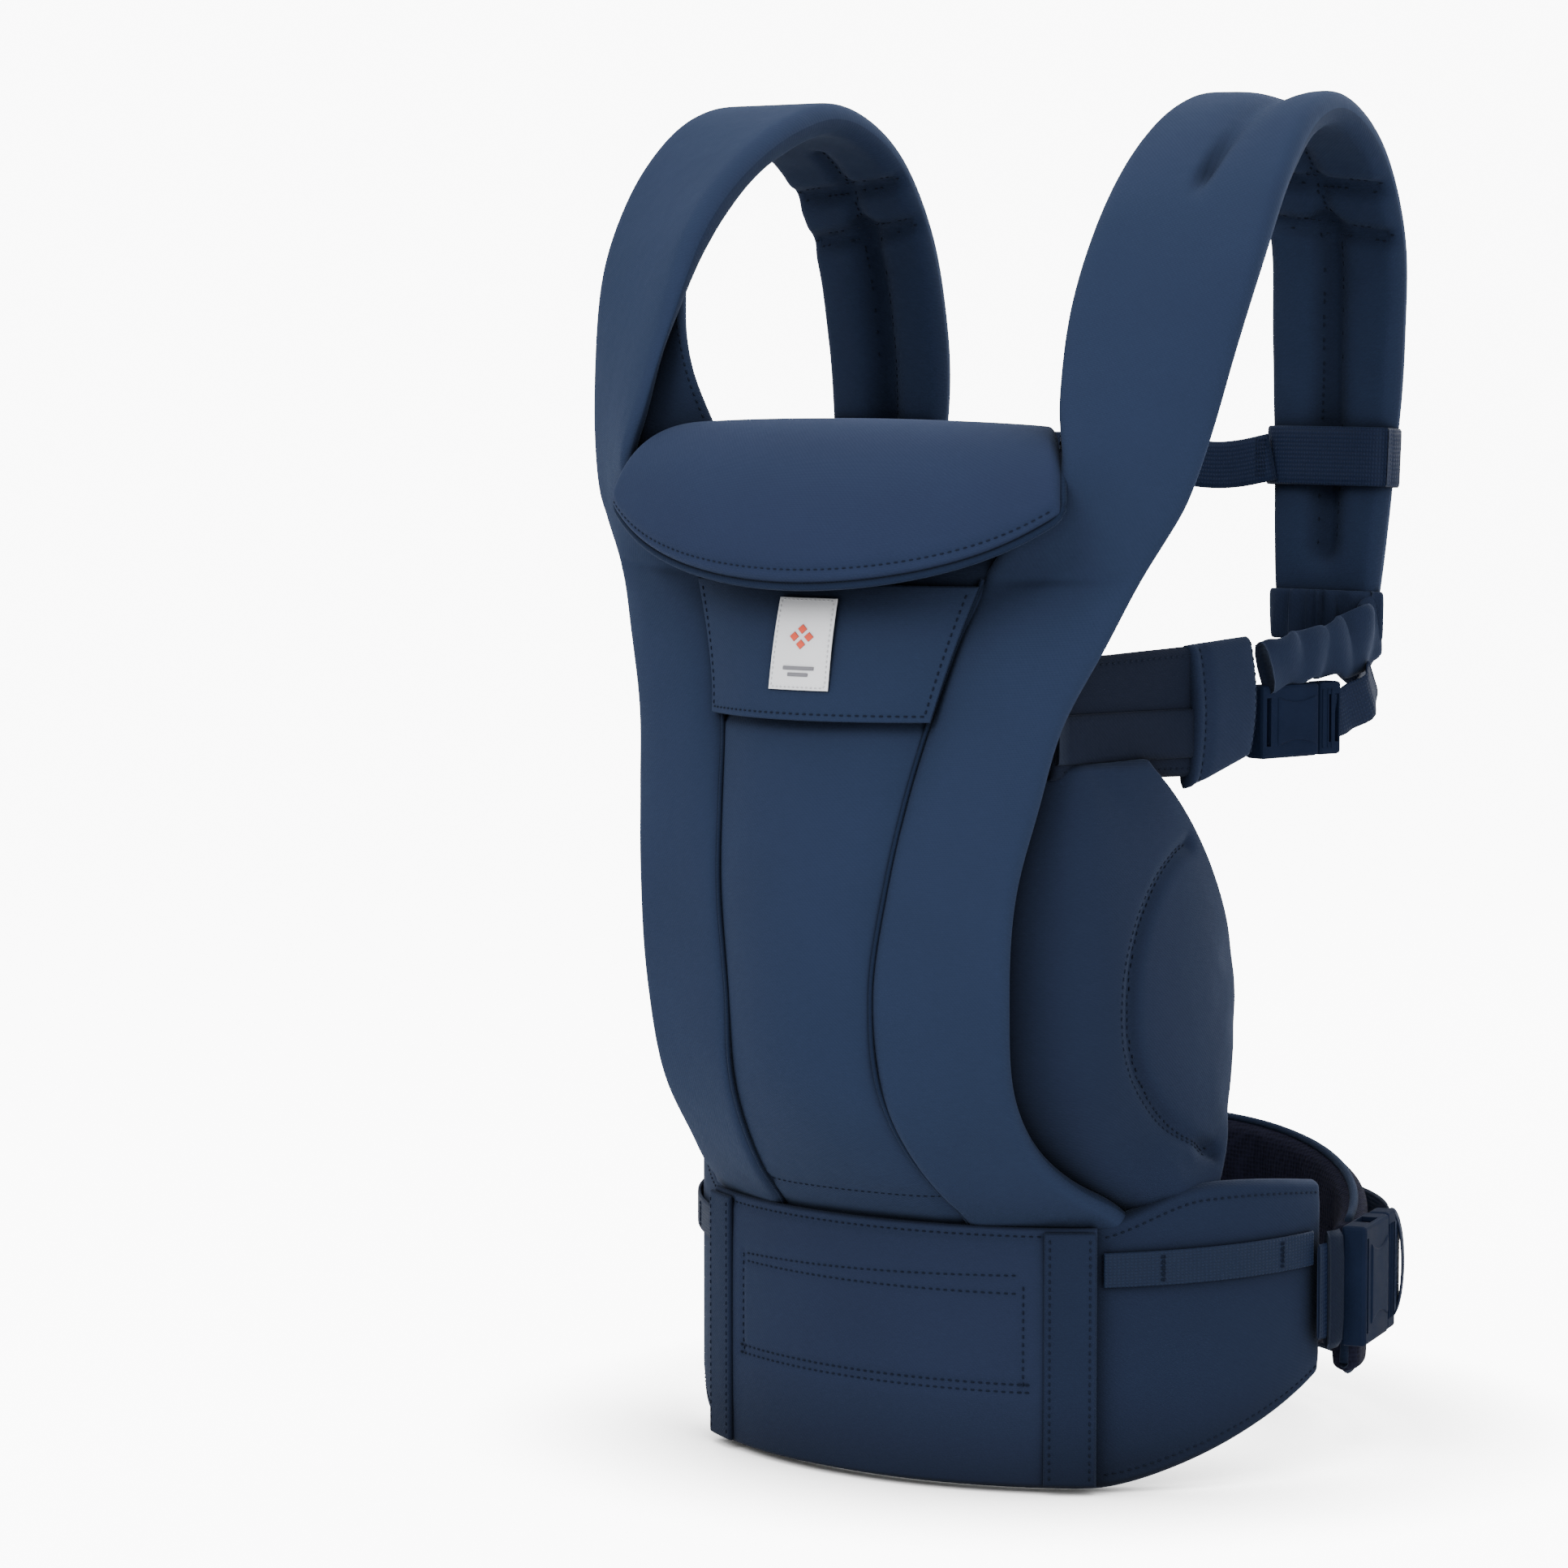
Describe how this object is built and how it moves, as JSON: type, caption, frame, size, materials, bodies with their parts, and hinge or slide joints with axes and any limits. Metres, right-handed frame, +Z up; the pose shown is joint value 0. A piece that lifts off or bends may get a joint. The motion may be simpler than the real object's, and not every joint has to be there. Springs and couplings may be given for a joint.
{
  "type": "soft baby carrier",
  "caption": "Padded soft baby carrier with a curved body panel, waist belt, shoulder straps, chest strap, fold-over head support and side-release buckles.",
  "frame": {"origin": "on the ground, on the belt's lower edge at the middle of its front", "axes": "+Z up, -Y out of the front panel, +X the wearer's left"},
  "size_m": [0.4048, 0.4317, 0.7134],
  "materials": {
    "fabric": "soft matte woven cotton twill, navy",
    "lining": "dark navy spacer mesh",
    "piping": "navy corded piping",
    "webbing": "dark navy ribbed polyester webbing",
    "buckle_plastic": "dark navy moulded acetal, satin",
    "label": null
  },
  "bodies": {
    "carrier": {"belt_pad": "fabric", "belt_cover": "fabric", "cover_strip_left": "fabric", "cover_strip_right": "fabric", "accessory_loop_left": "webbing", "accessory_loop_right": "webbing", "main_panel": "fabric", "side_band_left": "fabric", "side_band_right": "fabric", "upper_patch": "fabric", "woven_label": "label", "neck_roll": "fabric", "leg_pad_left": "fabric", "leg_pad_right": "fabric", "leg_insert_left": "fabric", "leg_insert_right": "fabric", "side_wing_left": "fabric", "side_wing_right": "fabric", "wing_sleeve_left": "fabric", "wing_sleeve_right": "fabric", "side_left_socket": "buckle_plastic", "side_right_socket": "buckle_plastic", "strap_front_left": "fabric", "strap_front_right": "fabric", "strap_gusset_left": "fabric", "strap_gusset_right": "fabric", "waist_socket": "buckle_plastic", "waist_webbing_short": "webbing"},
    "head_support": {"head_support_pad": "fabric", "head_support_piping": "piping"},
    "harness_rear": {"strap_rear_left": "fabric", "strap_rear_right": "fabric", "strap_webbing_left": "webbing", "strap_webbing_right": "webbing", "strap_keeper_left": "webbing", "strap_keeper_right": "webbing"},
    "chest_strap": {"chest_loop_left": "webbing", "chest_loop_right": "webbing", "chest_webbing_left": "webbing", "chest_webbing_right": "webbing", "chest_socket": "buckle_plastic"},
    "chest_plug": {"chest_plug": "buckle_plastic"},
    "chest_prong_upper": {"chest_prong_upper": "buckle_plastic"},
    "chest_prong_lower": {"chest_prong_lower": "buckle_plastic"},
    "side_left_plug": {"side_left_plug": "buckle_plastic"},
    "side_left_prong_upper": {"side_left_prong_upper": "buckle_plastic"},
    "side_left_prong_lower": {"side_left_prong_lower": "buckle_plastic"},
    "side_right_plug": {"side_right_plug": "buckle_plastic"},
    "side_right_prong_upper": {"side_right_prong_upper": "buckle_plastic"},
    "side_right_prong_lower": {"side_right_prong_lower": "buckle_plastic"},
    "waist_strap": {"waist_plug": "buckle_plastic", "waist_webbing_long": "webbing"},
    "waist_prong_upper": {"waist_prong_upper": "buckle_plastic"},
    "waist_prong_lower": {"waist_prong_lower": "buckle_plastic"},
    "lumbar_pad": {"lumbar_pad": "lining", "lumbar_loop_left": "webbing", "lumbar_loop_right": "webbing"}
  },
  "joints": [
    {"name": "head_support_fold", "type": "hinge", "parent": "carrier", "child": "head_support", "pos_m": [0, 0.011, 0.532], "axis": [-1, 0, 0], "range_deg": [0, 75]},
    {"name": "harness_swing", "type": "hinge", "parent": "carrier", "child": "harness_rear", "pos_m": [0, 0.133, 0.716], "axis": [1, 0, 0], "range_deg": [-3, 25]},
    {"name": "chest_strap_height", "type": "slide", "parent": "harness_rear", "child": "chest_strap", "axis": [0, 0.0572, 0.9984], "range_m": [-0.025, 0.025]},
    {"name": "chest_plug_pull", "type": "slide", "parent": "chest_strap", "child": "chest_plug", "axis": [-1, 0, 0], "range_m": [0, 0.03]},
    {"name": "side_left_plug_pull", "type": "slide", "parent": "carrier", "child": "side_left_plug", "axis": [0.2496, 0.9684, 0], "range_m": [0, 0.03]},
    {"name": "side_right_plug_pull", "type": "slide", "parent": "carrier", "child": "side_right_plug", "axis": [-0.2496, 0.9684, 0], "range_m": [0, 0.03]},
    {"name": "waist_strap_pull", "type": "hinge", "parent": "carrier", "child": "waist_strap", "pos_m": [0, 0.153, 0], "axis": [0, 0, 1], "range_deg": [0, 9]},
    {"name": "lumbar_pad_slide", "type": "hinge", "parent": "waist_strap", "child": "lumbar_pad", "pos_m": [0, 0.153, 0], "axis": [0, 0, 1], "range_deg": [-6, 6]},
    {"name": "chest_prong_upper_squeeze", "type": "hinge", "parent": "chest_plug", "child": "chest_prong_upper", "pos_m": [0.0012, 0.20765, 0.5364], "axis": [0, 1, 0], "range_deg": [0, 6]},
    {"name": "chest_prong_lower_squeeze", "type": "hinge", "parent": "chest_plug", "child": "chest_prong_lower", "pos_m": [0.0012, 0.20765, 0.5116], "axis": [0, 1, 0], "range_deg": [-6, 0]},
    {"name": "side_left_prong_upper_squeeze", "type": "hinge", "parent": "side_left_plug", "child": "side_left_prong_upper", "pos_m": [0.1634, 0.16277, 0.4024], "axis": [0.9684, -0.2496, 0], "range_deg": [0, 6]},
    {"name": "side_left_prong_lower_squeeze", "type": "hinge", "parent": "side_left_plug", "child": "side_left_prong_lower", "pos_m": [0.1634, 0.16277, 0.3776], "axis": [0.9684, -0.2496, 0], "range_deg": [-6, 0]},
    {"name": "side_right_prong_upper_squeeze", "type": "hinge", "parent": "side_right_plug", "child": "side_right_prong_upper", "pos_m": [-0.1634, 0.16277, 0.4024], "axis": [0.9684, 0.2496, 0], "range_deg": [0, 6]},
    {"name": "side_right_prong_lower_squeeze", "type": "hinge", "parent": "side_right_plug", "child": "side_right_prong_lower", "pos_m": [-0.1634, 0.16277, 0.3776], "axis": [0.9684, 0.2496, 0], "range_deg": [-6, 0]},
    {"name": "waist_prong_upper_squeeze", "type": "hinge", "parent": "waist_strap", "child": "waist_prong_upper", "pos_m": [0.1861, 0.19816, 0.1209], "axis": [0.9728, 0.2317, 0], "range_deg": [0, 6]},
    {"name": "waist_prong_lower_squeeze", "type": "hinge", "parent": "waist_strap", "child": "waist_prong_lower", "pos_m": [0.1861, 0.19816, 0.0711], "axis": [0.9728, 0.2317, 0], "range_deg": [-6, 0]}
  ],
  "couplings": [
    {"joint": "chest_prong_lower_squeeze", "follows": "chest_prong_upper_squeeze", "ratio": -1},
    {"joint": "side_left_prong_lower_squeeze", "follows": "side_left_prong_upper_squeeze", "ratio": -1},
    {"joint": "side_right_prong_lower_squeeze", "follows": "side_right_prong_upper_squeeze", "ratio": -1},
    {"joint": "waist_prong_lower_squeeze", "follows": "waist_prong_upper_squeeze", "ratio": -1}
  ]
}
